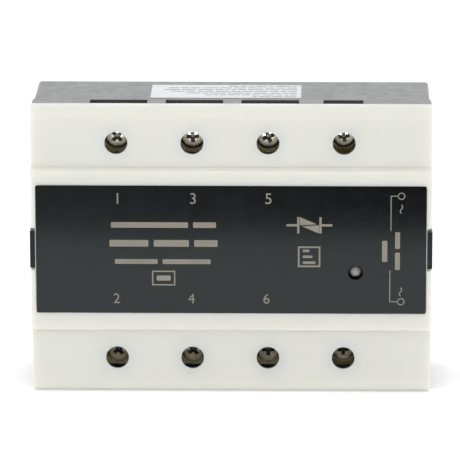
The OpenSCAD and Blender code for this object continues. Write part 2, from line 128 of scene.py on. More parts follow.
class Surface:
    """A principled material whose colour, roughness and relief come from noise in object space."""

    def __init__(self, name, roughness=0.5, metallic=0.0, **inputs):
        self.material = bpy.data.materials.new(name)
        self.material.use_nodes = True
        self.tree = self.material.node_tree
        self.shader = self.tree.nodes["Principled BSDF"]
        self.shader.inputs["Roughness"].default_value = roughness
        self.shader.inputs["Metallic"].default_value = metallic
        for socket, value in inputs.items():
            self.shader.inputs[socket.replace("_", " ")].default_value = value
        self.normal = None

    def node(self, kind, **inputs):
        made = self.tree.nodes.new("ShaderNode" + kind)
        for socket, value in inputs.items():
            made.inputs[socket.replace("_", " ")].default_value = value
        return made

    def link(self, source, target):
        self.tree.links.new(source, target)

    def noise(self, size, detail, stretch=(1, 1, 1)):
        """Noise whose features measure about size millimetres."""
        place = self.node("TexCoord")
        mapping = self.node("Mapping", Scale=stretch)
        texture = self.node("TexNoise", Scale=1 / (size * MM), Detail=detail)
        self.link(place.outputs["Object"], mapping.inputs["Vector"])
        self.link(mapping.outputs["Vector"], texture.inputs["Vector"])
        return texture.outputs["Fac"]

    def spread(self, value, low, high):
        """Maps the middle of a noise onto a range."""
        made = self.node("MapRange", From_Min=0.3, From_Max=0.7, To_Min=low, To_Max=high)
        self.link(value, made.inputs["Value"])
        return made.outputs["Result"]

    def mix(self, factor, first, second):
        made = self.node("Mix")
        made.data_type = "RGBA"
        self.link(factor, made.inputs["Factor"])
        made.inputs[6].default_value = (*first, 1)
        made.inputs[7].default_value = (*second, 1)
        return made.outputs[2]

    def colour(self, first, second, size):
        factor = self.spread(self.noise(size, 3.0), 0, 1)
        self.link(self.mix(factor, first, second), self.shader.inputs["Base Color"])

    def roughness(self, low, high, size, stretch=(1, 1, 1)):
        value = self.spread(self.noise(size, 3.0, stretch), low, high)
        self.link(value, self.shader.inputs["Roughness"])

    def relief(self, size, depth, strength, stretch=(1, 1, 1)):
        """Adds bumps of a size and a depth in millimetres; later calls lie on top of earlier ones."""
        bump = self.node("Bump", Strength=strength, Distance=depth * MM)
        self.link(self.noise(size, 2.0, stretch), bump.inputs["Height"])
        if self.normal:
            self.link(self.normal, bump.inputs["Normal"])
        self.normal = bump.outputs["Normal"]
        self.link(self.normal, self.shader.inputs["Normal"])


def plastic(name, first, second, rough, grain=0.28, depth=0.02, fleck=9, **inputs):
    """Moulded or coated surface with a fine grain; rough is the range of its roughness."""
    surface = Surface(name, **inputs)
    surface.colour(first, second, fleck)
    surface.roughness(*rough, size=3)
    surface.relief(grain, depth, strength=0.35)
    surface.relief(size=14, depth=0.06, strength=0.12)
    return surface.material


def metal(name, first, second, rough, grain=0.35, stretch=(1, 1, 1), depth=0.008, shine=1.0):
    """Bare or plated metal with slight marks; a stretch of the noise makes it brushed."""
    surface = Surface(name, metallic=shine)
    surface.colour(first, second, size=2.2)
    surface.roughness(*rough, size=0.8, stretch=stretch)
    surface.relief(grain, depth, strength=0.5, stretch=stretch)
    surface.relief(size=2.5, depth=0.02, strength=0.2)
    return surface.material


INK = {"grain": 0.15, "depth": 0.01}
FINE_INK = {"grain": 0.15, "depth": 0.008}

# Each material: its kind, the two colours it varies between, its range of roughness, and options
LOOKS = {
    "cover_plastic": (plastic, (0.72, 0.72, 0.665), (0.705, 0.705, 0.65), (0.4, 0.5), {
        "Subsurface_Weight": 0.7, "Subsurface_Radius": (1.0, 0.9, 0.7), "Subsurface_Scale": 0.004}),
    "base_plastic": (plastic, (0.05, 0.052, 0.055), (0.064, 0.066, 0.07), (0.24, 0.34)),
    "latch_plastic": (plastic, (0.006, 0.0063, 0.0066), (0.009, 0.0093, 0.0096), (0.3, 0.4), {
        "Specular_IOR_Level": 0.35}),
    "label_film": (plastic, (0.0035, 0.0042, 0.0045), (0.007, 0.0082, 0.009), (0.1, 0.15), {
        "grain": 0.45, "fleck": 0.8,
        "Specular_IOR_Level": 0.43, "Specular_Tint": (0.89, 0.98, 1.0, 1.0)}),
    "label_ink": (plastic, (0.255, 0.236, 0.192), (0.208, 0.193, 0.157), (0.45, 0.6), INK),
    "sticker_film": (plastic, (0.66, 0.67, 0.68), (0.62, 0.63, 0.65), (0.45, 0.6), {
        "grain": 0.6, "depth": 0.01}),
    "sticker_ink": (plastic, (0.1, 0.1, 0.11), (0.16, 0.16, 0.17), (0.6, 0.7), INK),
    "screw_nickel": (metal, (0.8, 0.77, 0.68), (0.64, 0.6, 0.49), (0.24, 0.36), {"shine": 0.72}),
    # Painted shade: a darker, olive copy of the screw nickel for the outer ring of a head
    "screw_shoulder_painted_shade": (metal, (0.5, 0.47, 0.37), (0.4, 0.37, 0.27), (0.24, 0.36)),
    # Painted shade: near black for the walls and floor of a screw's cross recess
    "screw_recess_painted_shade": (plastic, (0.035, 0.04, 0.037), (0.06, 0.06, 0.05), (0.35, 0.5)),
    "screw_steel": (metal, (0.55, 0.55, 0.56), (0.42, 0.42, 0.43), (0.25, 0.4)),
    "washer_steel": (metal, (0.62, 0.6, 0.55), (0.48, 0.46, 0.4), (0.22, 0.38)),
    "terminal_brass": (metal, (0.46, 0.4, 0.24), (0.33, 0.28, 0.15), (0.26, 0.42)),
    "plate_aluminium": (metal, (0.78, 0.79, 0.8), (0.68, 0.69, 0.7), (0.28, 0.45), {
        "grain": 0.25, "stretch": (0.04, 1, 1), "depth": 0.012}),
    "copper": (metal, (0.74, 0.34, 0.2), (0.6, 0.26, 0.15), (0.25, 0.4)),
    "tinned_wire": (metal, (0.74, 0.74, 0.72), (0.62, 0.62, 0.61), (0.25, 0.4)),
    "silicon": (plastic, (0.1, 0.1, 0.13), (0.07, 0.07, 0.09), (0.08, 0.16), {
        "grain": 0.5, "depth": 0.004}),
    "ceramic_white": (plastic, (0.8, 0.79, 0.75), (0.74, 0.73, 0.69), (0.4, 0.55)),
    "potting_gel": (plastic, (0.7, 0.72, 0.73), (0.62, 0.64, 0.66), (0.1, 0.18), {
        "grain": 4, "depth": 0.1}),
    "board_laminate": (plastic, (0.012, 0.085, 0.035), (0.018, 0.11, 0.045), (0.2, 0.32)),
    "black_epoxy": (plastic, (0.018, 0.018, 0.019), (0.028, 0.028, 0.03), (0.38, 0.55)),
    "capacitor_case": (plastic, (0.72, 0.43, 0.05), (0.62, 0.36, 0.04), (0.3, 0.45)),
    "resistor_body": (plastic, (0.62, 0.52, 0.36), (0.52, 0.43, 0.3), (0.25, 0.4)),
    "varistor_coating": (plastic, (0.03, 0.09, 0.36), (0.02, 0.06, 0.28), (0.12, 0.25), {
        "grain": 1.2, "depth": 0.05}),
    "capacitor_sleeve": (plastic, (0.015, 0.02, 0.06), (0.02, 0.028, 0.08), (0.15, 0.25)),
    "diode_glass": (plastic, (0.62, 0.15, 0.04), (0.5, 0.1, 0.03), (0.05, 0.1)),
    "lamp_lens": (plastic, (0.34, 0.34, 0.33), (0.28, 0.28, 0.27), (0.16, 0.24), {
        "grain": 0.4, "depth": 0.004}),
    "board_print": (plastic, (0.8, 0.8, 0.77), (0.7, 0.7, 0.68), (0.5, 0.65), FINE_INK),
    "board_track": (plastic, (0.03, 0.17, 0.06), (0.04, 0.21, 0.08), (0.2, 0.32)),
    "case_mark": (plastic, (0.42, 0.42, 0.42), (0.34, 0.34, 0.34), (0.45, 0.6), FINE_INK),
    "can_aluminium": (metal, (0.8, 0.81, 0.82), (0.7, 0.71, 0.72), (0.2, 0.32)),
    "sleeve_stripe": (plastic, (0.62, 0.65, 0.7), (0.54, 0.57, 0.62), (0.2, 0.3)),
    "spacer_nylon": (plastic, (0.8, 0.79, 0.74), (0.74, 0.73, 0.68), (0.35, 0.5)),
}
BAND_COLOURS = {
    "orange": (0.7, 0.2, 0.02), "white": (0.8, 0.8, 0.78), "black": (0.02, 0.02, 0.02),
    "gold": (0.45, 0.31, 0.08), "brown": (0.16, 0.06, 0.025), "red": (0.5, 0.03, 0.025),
}


def make_materials():
    made = {}
    for name, (kind, first, second, rough, *options) in LOOKS.items():
        made[name] = kind(name, first, second, rough, **dict(*options))
    for name, colour in BAND_COLOURS.items():
        darker = tuple(0.85 * channel for channel in colour)
        made["band_" + name] = plastic("band_" + name, colour, darker, (0.25, 0.4), 0.3, 0.008)
    return made


MATERIALS = make_materials()


# ---------- mesh helpers ----------

def at(x, z, t):
    """A point of the frame, from x, z and a depth in millimetres."""
    return Vector((x, -t, z)) * MM


def front_facing(point):
    """Stands a shape that was made along Z on a point, so that it faces the front."""
    return Matrix.Translation(point) @ Matrix.Rotation(math.pi / 2, 4, "X")


def box_mm(node):
    """Ranges of x, z and depth of a CAD node, in millimetres."""
    low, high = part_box(node)
    return (low.x / MM, high.x / MM), (low.z / MM, high.z / MM), (-high.y / MM, -low.y / MM)


def meshes(count):
    return [bmesh.new() for _ in range(count)]


def add_object(name, data):
    made = bpy.data.objects.new(name, data)
    bpy.context.scene.collection.objects.link(made)
    return made


def add_part(bm, part):
    mesh = bpy.data.meshes.new("part")
    part.to_mesh(mesh)
    part.free()
    bm.from_mesh(mesh)
    bpy.data.meshes.remove(mesh)


def finish_mesh(name, bm, materials, body, slot=None, smooth_angle=35):
    """Turns a bmesh into a piece that rides on a body; materials is one name or a list."""
    bmesh.ops.recalc_face_normals(bm, faces=bm.faces)
    for face in bm.faces:
        face.smooth = True
    limit = math.radians(smooth_angle)
    for edge in bm.edges:
        edge.smooth = len(edge.link_faces) == 2 and edge.calc_face_angle(math.pi) < limit
    mesh = bpy.data.meshes.new(name)
    bm.to_mesh(mesh)
    bm.free()
    for material in [materials] if isinstance(materials, str) else materials:
        mesh.materials.append(MATERIALS[material])
    piece = add_object(name, mesh)
    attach(piece, body)
    return piece


def assemble(name, replaced, slot=None, **parts):
    """Joins meshes, each given under its material, into one piece of the housing."""
    whole = bmesh.new()
    for index, bm in enumerate(parts.values()):
        for face in bm.faces:
            face.material_index = index
        add_part(whole, bm)
    piece = finish_mesh(name, whole, list(parts), "housing", slot or next(iter(parts)))
    if replaced:
        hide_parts(replaced)


def round_edges(bm, width, corner_angle=40, segments=2):
    """Rounds the edges of a closed mesh that bend by more than an angle."""
    limit = math.radians(corner_angle)
    corners = [e for e in bm.edges if len(e.link_faces) == 2 and e.calc_face_angle(0) > limit]
    bmesh.ops.bevel(bm, geom=corners, offset=width * MM, segments=segments, profile=0.6,
                    affect="EDGES", clamp_overlap=True)


def softened(node, material, width, segments=2):
    """A copy of a CAD node with its sharp edges rounded, shown in place of the node."""
    source = nodes[node]
    slot = source.material_slots[0].material.name if source.material_slots else None
    bm = bmesh.new()
    bm.from_mesh(source.data)
    for layer in list(bm.loops.layers.uv):
        bm.loops.layers.uv.remove(layer)
    bmesh.ops.remove_doubles(bm, verts=bm.verts, dist=0.0005 * MM)
    bmesh.ops.dissolve_limit(bm, angle_limit=math.radians(0.6), verts=bm.verts, edges=bm.edges)
    round_edges(bm, width, 38, segments)
    piece = finish_mesh(node + "_rounded", bm, material, source["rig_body"], slot)
    weighted = piece.modifiers.new("weighted_normals", "WEIGHTED_NORMAL")
    weighted.keep_sharp = True
    weighted.weight = 80
    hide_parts(node)
    return piece


def paint(node, material):
    """Gives a CAD node that stays a finished material."""
    for slot in nodes[node].material_slots:
        slot.link = "OBJECT"
        slot.material = MATERIALS[material]


def skin(bm, rings):
    """Covers rings of the same number of vertices with walls, and closes both ends."""
    for lower, upper in zip(rings, rings[1:]):
        for k in range(len(lower)):
            j = (k + 1) % len(lower)
            bm.faces.new((lower[k], lower[j], upper[j], upper[k]))
    bm.faces.new(rings[0][::-1])
    bm.faces.new(rings[-1])


def revolve(bm, profile, segments=48):
    """A closed solid turned around Z from (radius, height) points that start and end on the axis."""
    turns = [2 * math.pi * k / segments for k in range(segments)]
    rings = []
    for radius, height in profile:
        points = [(radius * math.cos(a), radius * math.sin(a), height) for a in turns]
        if radius < 1e-9:
            points = [(0, 0, height)]
        rings.append([bm.verts.new(point) for point in points])
    for lower, upper in zip(rings, rings[1:]):
        for k in range(segments):
            j = (k + 1) % segments
            corners = (lower[k % len(lower)], lower[j % len(lower)],
                       upper[j % len(upper)], upper[k % len(upper)])
            bm.faces.new(list(dict.fromkeys(corners)))


def arc(centre, radius, start, end, steps):
    """Points of an arc in a profile; angles in degrees, measured from the outward direction."""
    angles = [math.radians(start + (end - start) * k / steps) for k in range(steps + 1)]
    return [(centre[0] + radius * math.cos(a), centre[1] + radius * math.sin(a)) for a in angles]


def turned(bm, profile, base, segments=32, direction=(0, -1, 0)):
    """A turned solid whose profile, in millimetres, stands on (x, z, t), to the front or another way."""
    part = bmesh.new()
    revolve(part, [(r * MM, h * MM) for r, h in profile], segments)
    turn = Vector(direction).to_track_quat("Z", "Y").to_matrix().to_4x4()
    part.transform(Matrix.Translation(at(*base)) @ turn)
    add_part(bm, part)


def wire(bm, path, diameter, sides=10):
    """A round wire along a path of (x, z, t) points in millimetres."""
    points = [at(*point) for point in path]
    radius = diameter / 2 * MM
    turns = [2 * math.pi * j / sides for j in range(sides)]
    rings = []
    for k, point in enumerate(points):
        before = points[max(k - 1, 0)]
        after = points[min(k + 1, len(points) - 1)]
        along = (after - before).normalized()
        side = side - along * side.dot(along) if rings else along.orthogonal()
        side.normalize()
        other = along.cross(side)
        around = [(side * math.cos(a) + other * math.sin(a)) * radius for a in turns]
        rings.append([bm.verts.new(point + reach) for reach in around])
    skin(bm, rings)


def case(bm, x, z, t, round_by=0.2, draft=0.0):
    """A moulded case between x, z and t ranges in millimetres, with rounded edges, sloping sides."""
    part = bmesh.new()
    rings = []
    for level, inset in ((t[0], draft), ((t[0] + t[1]) / 2, 0), (t[1], draft)):
        x0, x1 = x[0] + inset, x[1] - inset
        z0, z1 = z[0] + inset, z[1] - inset
        corners = ((x0, z0), (x1, z0), (x1, z1), (x0, z1))
        rings.append([part.verts.new(at(px, pz, level)) for px, pz in corners])
    skin(part, rings)
    round_edges(part, round_by)
    add_part(bm, part)


def prism(bm, outline, depths):
    """Extrudes an outline of (x, z) points, in millimetres, between two depths."""
    back, front = [[bm.verts.new(at(x, z, t)) for x, z in outline] for t in depths]
    skin(bm, [front, back])


def bar(bm, x0, x1, z0, z1, depths, radius=0.25):
    """A flat bar with rounded corners."""
    outline = []
    for x, z, turn in (
        (x1 - radius, z1 - radius, 0),
        (x0 + radius, z1 - radius, 90),
        (x0 + radius, z0 + radius, 180),
        (x1 - radius, z0 + radius, 270),
    ):
        outline += arc((x, z), radius, turn, turn + 90, 4)
    prism(bm, outline, depths)


def frame_line(bm, x0, x1, z0, z1, width, depths):
    """A rectangular frame made of four bars."""
    for low, high in ((z0, z0 + width), (z1 - width, z1)):
        prism(bm, [(x0, low), (x1, low), (x1, high), (x0, high)], depths)
    low, high = z0 + width, z1 - width
    for x in (x0, x1 - width):
        prism(bm, [(x, low), (x + width, low), (x + width, high), (x, high)], depths)


def stroke(bm, path, width, depths):
    """A line of constant width along a path of (x, z) points."""
    left, right = [], []
    for k, point in enumerate(path):
        before = Vector(path[max(k - 1, 0)])
        after = Vector(path[min(k + 1, len(path) - 1)])
        along = (after - before).normalized()
        side = Vector((-along.y, along.x)) * width / 2
        left.append(tuple(Vector(point) + side))
        right.append(tuple(Vector(point) - side))
    prism(bm, left + right[::-1], depths)


def ring(bm, x, z, radius, width, depths, steps=32):
    """A circle line, made of short straight prisms that join up."""
    lines = [arc((x, z), radius + side * width / 2, 0, 360, steps)[:-1] for side in (1, -1)]
    (outer0, inner0), (outer1, inner1) = [
        [[bm.verts.new(at(px, pz, t)) for px, pz in line] for line in lines] for t in depths]
    for k in range(steps):
        j = (k + 1) % steps
        bm.faces.new((outer0[k], outer0[j], inner0[j], inner0[k]))
        bm.faces.new((outer1[k], inner1[k], inner1[j], outer1[j]))
        bm.faces.new((outer0[k], outer1[k], outer1[j], outer0[j]))
        bm.faces.new((inner0[k], inner0[j], inner1[j], inner1[k]))


# Height of the font's digits, as a share of its size
DIGIT_SHARE = 0.72


def numeral(bm, digit, x, z, height, depths):
    """A printed digit, centred on x and z."""
    curve = bpy.data.curves.new("digit", "FONT")
    curve.body = digit
    curve.size = height / DIGIT_SHARE * MM
    curve.extrude = (depths[1] - depths[0]) / 2 * MM
    curve.resolution_u = 4
    text = bpy.data.objects.new("digit", curve)
    mesh = bpy.data.meshes.new_from_object(text)
    low = Vector([min(v.co[a] for v in mesh.vertices) for a in range(3)])
    high = Vector([max(v.co[a] for v in mesh.vertices) for a in range(3)])
    centre = (low + high) / 2
    mesh.transform(front_facing(at(x, z, sum(depths) / 2)) @ Matrix.Translation(-centre))
    bm.from_mesh(mesh)
    bpy.data.objects.remove(text)
    bpy.data.curves.remove(curve)
    bpy.data.meshes.remove(mesh)


def marked(top):
    """Lower and upper level of ink on a face at level top."""
    return top - 0.01, top + 0.02


# ---------- shells ----------

def shells():
    softened("front_cover", "cover_plastic", 0.22, 3)
    softened("base_housing", "base_plastic", 0.15)
    softened("base_plate", "plate_aluminium", 0.25)
    for side in ("left", "right"):
        softened("latch_" + side, "latch_plastic", 0.12)
    paint("label_plate", "label_film")
    paint("rating_sticker", "sticker_film")


# ---------- label print ----------

PRINT_THICK = 0.03
PRINT_SUNK = 0.005
LINE = 0.33

# Rows that stand for the lines of print: (z, height, spans along x)
PRINT_ROWS = (
    (7.44, 1.5, ((-31.4, -11.2), (-9.9, -3.9))),
    (2.5, 1.8, ((-31.8, -21.6), (-20.2, -11.0), (-9.6, -3.5))),
    (-2.44, 1.3, ((-30.4, -19.2), (-17.9, -5.3))),
)
# Numerals beside the terminals: (digit, x, z, height)
NUMERALS = (
    ("1", -29.6, 14.6, 3.0), ("3", -9.9, 14.6, 3.0), ("5", 9.8, 14.6, 3.0),
    ("2", -30.0, -12.42, 2.75), ("4", -10.4, -12.42, 2.75), ("6", 9.3, -12.42, 2.75),
)
# Leads of the control input: x and inner end of the lead, then (x, z) of its circle and of its sign
INPUT_LEADS = (
    (41.8, 6.0, (44.5, 15.4), (44.5, 11.9)),
    (41.6, -4.6, (44.5, -13.1), (44.4, -10.4)),
)
# Bars between the leads: x and z ranges
INPUT_BARS = ((39.5, 40.9, -2.3, 3.4), (42.9, 44.2, -4.5, 0.2), (42.9, 44.2, 1.2, 5.7))


def label_print():
    back = box_mm("label_plate")[2][1] - PRINT_SUNK
    depths = (back, back + PRINT_THICK)
    bm = bmesh.new()
    for digit, x, z, height in NUMERALS:
        numeral(bm, digit, x, z, height, depths)
    for z, height, spans in PRINT_ROWS:
        for x0, x1 in spans:
            bar(bm, x0, x1, z - height / 2, z + height / 2, depths)
    rating_frame(bm, depths)
    valve_symbol(bm, depths)
    square_mark(bm, depths)
    input_diagram(bm, depths)
    finish_mesh("label_print", bm, "label_ink", "cover", "label_film")


def rating_frame(bm, depths):
    frame_line(bm, -20.7, -14.6, -8.9, -4.9, 0.35, depths)
    bar(bm, -19.5, -15.8, -7.6, -6.2, depths)


def valve_symbol(bm, depths):
    """Two opposed triangles between bars, the usual sign for a switch without contacts."""
    z, half, line, x0, x1 = 7.5, 2.2, 0.3, 17.6, 23.4
    prism(bm, [(x0 + 0.4, z), (x0 + 0.4, z + half), (x1 - 0.9, z + 0.25)], depths)
    prism(bm, [(x1 - 0.4, z), (x1 - 0.4, z - half), (x0 + 0.9, z - 0.25)], depths)
    for x in (x0, x1):
        bar(bm, x - line, x + line, z - half, z + half, depths, 0.1)
    for start, end in ((14.5, x0 - line), (x1 + line, 26.5)):
        bar(bm, start, end, z - line, z + line, depths, 0.1)


def square_mark(bm, depths):
    """A square frame around three bars of falling length."""
    frame_line(bm, 17.5, 23.4, -3.8, 1.8, 0.45, depths)
    half = 0.35
    for k in range(3):
        z = -2.6 + k * 1.6
        bar(bm, 18.8, 22.1 - 0.8 * k, z - half, z + half, depths, 0.15)


def current_sign(x, z, height=2.3, swing=-0.3, steps=16):
    """Path of the alternating current sign, standing upright."""
    parts = [k / steps for k in range(steps + 1)]
    return [(x + swing * math.sin(2 * math.pi * u), z + height * (u - 0.5)) for u in parts]


def input_diagram(bm, depths):
    """Leads of the control input with their terminal circles and current signs."""
    radius, line = 0.85, 0.8 * LINE
    for lead_x, end_z, (x, z), sign in INPUT_LEADS:
        stroke(bm, [(lead_x, end_z), (lead_x, z + math.copysign(line / 2, z))], line, depths)
        stroke(bm, [(lead_x + line / 2, z), (x - radius, z)], line, depths)
        ring(bm, x, z, radius, line, depths)
        stroke(bm, current_sign(*sign), line, depths)
    for x0, x1, z0, z1 in INPUT_BARS:
        bar(bm, x0, x1, z0, z1, depths)


# ---------- sticker print ----------

# Where each row of the sticker's print starts, as parts of its width; all rows end at the right
STICKER_ROWS = (0.56, 0.10, 0.06, 0.12, 0.22, 0.40, 0.72)


def sticker_print():
    """Rows of small dashes on the sticker, in place of lines of print."""
    (left, right), (_, top), (t_back, t_front) = box_mm("rating_sticker")
    x0, x1 = left + 1.0, right - 1.2
    margin, half, gap = 1.5, 0.24, 0.55
    shortest, step = 1.1, 0.5
    pitch = (t_front - t_back - 2 * margin) / (len(STICKER_ROWS) - 1)
    bm = bmesh.new()
    for row, start in enumerate(STICKER_ROWS):
        t = t_back + margin + row * pitch
        end = x1
        k = 0
        while end > x0 + start * (x1 - x0):
            x = end - shortest - step * ((k * k + 5 * k + 3 * row) % 7)
            dash = [(x, t - half), (end, t - half), (end, t + half), (x, t + half)]
            levels = [[bm.verts.new(at(px, z, pt)) for px, pt in dash] for z in marked(top)]
            skin(bm, levels[::-1])
            end = x - gap
            k += 1
    finish_mesh("sticker_print", bm, "sticker_ink", "housing", "sticker_film")


# ---------- screws ----------

# Radius and pitch of the threads
POWER_THREAD = (2.0 * MM, 0.7 * MM)
CONTROL_THREAD = (1.75 * MM, 0.6 * MM)
THREAD_GAP = 0.05 * MM
THREAD_STEPS = 6
THREAD_SIDES = 28

# Gaps between a head and its washers, and between clamped washers and their bar
HEAD_GAP = 0.02 * MM
SEAT_GAP = 0.02 * MM
# Pieces that each spot lights
SCREW_ROWS = {row: bpy.data.collections.new(row + "_screws") for row in ("upper", "lower")}

# Materials of a head: nickel on the crown, painted shade in the cross recess and painted shade on the
# shoulder ring
HEAD_MATERIALS = ["screw_nickel", "screw_recess_painted_shade", "screw_shoulder_painted_shade"]
CROWN, PAINTED_RECESS_SHADE, PAINTED_SHOULDER_SHADE = range(3)
# Shares of a head's radius: where the painted shade of its shoulder starts, and how far the painted
# shade of its recess reaches
SHOULDER_START = 0.74
RECESS_REACH = 0.58


def terminal_parts(screw):
    """Names of the washers and of the body that go with a screw node, and its thread."""
    number = screw.rsplit("_", 1)[1]
    if screw.startswith("control"):
        return "control_washers_" + number, "screw_a" + number, CONTROL_THREAD
    return "clamp_washers_" + number, "screw_" + number, POWER_THREAD


def head_profile(radius, height):
    """Profile of a pan head, from the middle of its underside to the middle of its crown."""
    edge = 0.06 * radius
    shoulder = 0.46 * height
    blend = 0.34 * height
    points = [(0, 0), (radius - edge, 0), (radius, edge), (radius, shoulder)]
    points += arc((radius - blend, shoulder), blend, 12, 62, 6)
    x, z = points[-1]
    fullness, steps = 0.9, 8
    for k in range(1, steps + 1):
        u = k / steps
        points.append((x * (1 - u), z + (height - z) * math.sin(u * math.pi / 2) ** fullness))
    return points


def cross_cutter(radius, height):
    """Closed shapes of a cross recess: two tapered blades and a round core."""
    top = height + 0.2 * MM
    floor_z = height - 0.72 * height
    # Blade at its floor and its top: height, and half of its length and of its width
    levels = ((floor_z, 0.16 * radius, 0.10 * radius), (top, 0.56 * radius, 0.165 * radius))
    cutters = []
    for turn in (0, math.pi / 2):
        bm = bmesh.new()
        skin(bm, [[bm.verts.new((sx * reach, sy * half, z))
                   for sx, sy in ((-1, -1), (1, -1), (1, 1), (-1, 1))]
                  for z, reach, half in levels])
        bm.transform(Matrix.Rotation(turn, 4, "Z"))
        cutters.append(bm)
    core = bmesh.new()
    tip = floor_z - 0.25 * MM
    revolve(core, [(0, tip), (0.12 * radius, floor_z), (0.235 * radius, top), (0, top)], 24)
    return [*cutters, core]


def head_zone(face, radius, height):
    """Index of the material of a face of a head: its crown, the painted shade of its recess, or the
    painted shade of its shoulder.
    """
    point = face.calc_center_median()
    r = math.hypot(point.x, point.y)
    if r > SHOULDER_START * radius:
        return PAINTED_SHOULDER_SHADE
    near = r < RECESS_REACH * radius and point.z > 0.1 * height
    steep = abs(face.normal.z) < 0.8
    deep = point.z < 0.75 * height
    return PAINTED_RECESS_SHADE if near and (steep or deep) else CROWN


def temporary(bm, name):
    bmesh.ops.recalc_face_normals(bm, faces=bm.faces)
    mesh = bpy.data.meshes.new(name)
    bm.to_mesh(mesh)
    bm.free()
    return add_object(name, mesh)


def carve(bm, cutters):
    """Cuts closed shapes out of a closed mesh and returns the result as a new bmesh."""
    target = temporary(bm, "blank")
    tools = [temporary(cutter, "cutter") for cutter in cutters]
    for tool in tools:
        cut = target.modifiers.new("cut", "BOOLEAN")
        cut.operation = "DIFFERENCE"
        cut.solver = "EXACT"
        cut.object = tool
    bpy.context.view_layer.update()
    graph = bpy.context.evaluated_depsgraph_get()
    mesh = bpy.data.meshes.new_from_object(target.evaluated_get(graph))
    result = bmesh.new()
    result.from_mesh(mesh)
    bpy.data.meshes.remove(mesh)
    for made in [target, *tools]:
        old = made.data
        bpy.data.objects.remove(made)
        bpy.data.meshes.remove(old)
    return result


def threaded_rod(bm, radius, pitch, top, length):
    """A rod with a helical thread that ends in a chamfer."""
    depth, chamfer, sharpness = 0.55 * pitch, 0.45 * pitch, 1.3
    step = pitch / THREAD_STEPS
    count = int(length / step)
    rings = []
    for row in range(count + 1):
        z = top - row * step
        taper = max(0.0, (row - count + THREAD_STEPS) / THREAD_STEPS)
        verts = []
        for k in range(THREAD_SIDES):
            turn = k / THREAD_SIDES
            phase = (z / pitch - turn) % 1.0
            groove = abs(2 * phase - 1) ** sharpness
            r = radius - depth * groove * min(1, row / THREAD_STEPS) - chamfer * taper
            a = 2 * math.pi * turn
            verts.append(bm.verts.new((r * math.cos(a), r * math.sin(a), z)))
        rings.append(verts)
    skin(bm, rings)


def cross_head(radius, height, turn, segments):
    """A pan head whose cross recess is turned by some degrees."""
    bm = bmesh.new()
    revolve(bm, head_profile(radius, height), segments)
    bm = carve(bm, cross_cutter(radius, height))
    bm.transform(Matrix.Rotation(math.radians(turn), 4, "Z"))
    return bm


def screws():
    for screw, turn in RECESS_TURNS.items():
        washers, body, (shank, pitch) = terminal_parts(screw)
        low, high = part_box(screw)
        middle = (low + high) / 2
        underside = -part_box(washers)[0].y + HEAD_GAP
        radius = (high.x - low.x) / 2
        height = -low.y - underside
        bm = cross_head(radius, height, turn, 64)
        for face in bm.faces:
            face.material_index = head_zone(face, radius, height)
        threaded_rod(bm, shank - THREAD_GAP, pitch, 0, underside + high.y)
        bm.transform(front_facing((middle.x, -underside, middle.z)))
        piece = finish_mesh(screw + "_turned", bm, HEAD_MATERIALS, body, "screw_nickel", 32)
        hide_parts(screw)
        SCREW_ROWS["upper" if middle.z > 0 else "lower"].objects.link(piece)


def ease_seat(piece):
    """Draws a washer's underside in a little, so that it doesn't cut into its bar when clamped."""
    seat = max(vertex.co.y for vertex in piece.data.vertices)
    for vertex in piece.data.vertices:
        if vertex.co.y > seat - SEAT_GAP / 10:
            vertex.co.y -= SEAT_GAP


def terminals():
    for number in POWER_TERMINALS:
        ease_seat(softened("clamp_washers_" + number, "washer_steel", 0.12))
        softened("terminal_bar_" + number, "terminal_brass", 0.12)
    for number in CONTROL_TERMINALS:
        ease_seat(softened("control_washers_" + number, "washer_steel", 0.1))
        softened("control_bar_" + number, "terminal_brass", 0.12)
    for node in ("power_nuts", "control_nuts"):
        softened(node, "screw_steel", 0.2)


# ---------- lamp ----------

def lamp():
    """The lamp's dome with its faint rings, and a near-black tube in the cover's lamp hole that paints
    shade into the gap around the dome.
    """
    low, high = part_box("indicator_lamp")
    middle = (low + high) / 2
    height = high.y - low.y
    flange = (high.x - low.x) / 2
    dome, shelf, chamfer = 1.5 * MM, 1.0 * MM, 0.1 * MM
    profile = [(0, 0), (flange, 0), (flange, shelf - chamfer), (flange - chamfer, shelf), (dome, shelf)]
    steps, rings, ripple = 48, 4, 0.06 * MM
    for k, (r, z) in enumerate(arc((0, height - dome), dome, 0, 90, steps)):
        wave = ripple * (math.cos(2 * math.pi * rings * k / steps) - 1) * math.sin(math.pi * k / steps)
        profile.append((r + wave * r / dome, z + wave * (z - height + dome) / dome))
    profile[-1] = (0, height)
    bm = bmesh.new()
    revolve(bm, profile, 48)
    bm.transform(front_facing((middle.x, high.y, middle.z)))
    piece = finish_mesh("lamp_lens_dome", bm, "lamp_lens", "housing", "lamp_lens")
    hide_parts("indicator_lamp")

    # Painted shade: a near-black tube over the white bore, so that the gap around the dome reads dark
    gap_shade_tube = bmesh.new()
    front = box_mm("label_plate")[2][1]
    radius, wall, depth, sunk = 2.03, 0.16, 2.6, 0.03
    ring(gap_shade_tube, middle.x / MM, middle.z / MM, radius, wall, (front - depth, front - sunk), 48)
    finish_mesh("lamp_gap_painted_shade", gap_shade_tube, "latch_plastic", "cover", "label_film")


# ---------- control board ----------

# Depths of the board's front face and of the ends of the legs, just behind it
BOARD_T = box_mm("control_board")[2][1]
LEG_END = BOARD_T - 0.3
TRACK_THICK = 0.04
# Profile of the solder around a leg
SOLDER = [(0, 0), (0.95, 0), (0.62, 0.16), (0.42, 0.42), (0.34, 0.62), (0, 0.66)]

# Resistors: node, piece, radius, length, axis, place across and height of the axis, colour rings
RESISTORS = (
    ("snubber_resistors", "snubber_resistor_set", 1.8, 10, "X", 5.4, 1.9,
     ("orange", "white", "black", "gold")),
    ("input_resistors", "input_resistor_set", 1.2, 6.4, "Z", -1.3, 1.3,
     ("brown", "black", "red", "gold")),
)
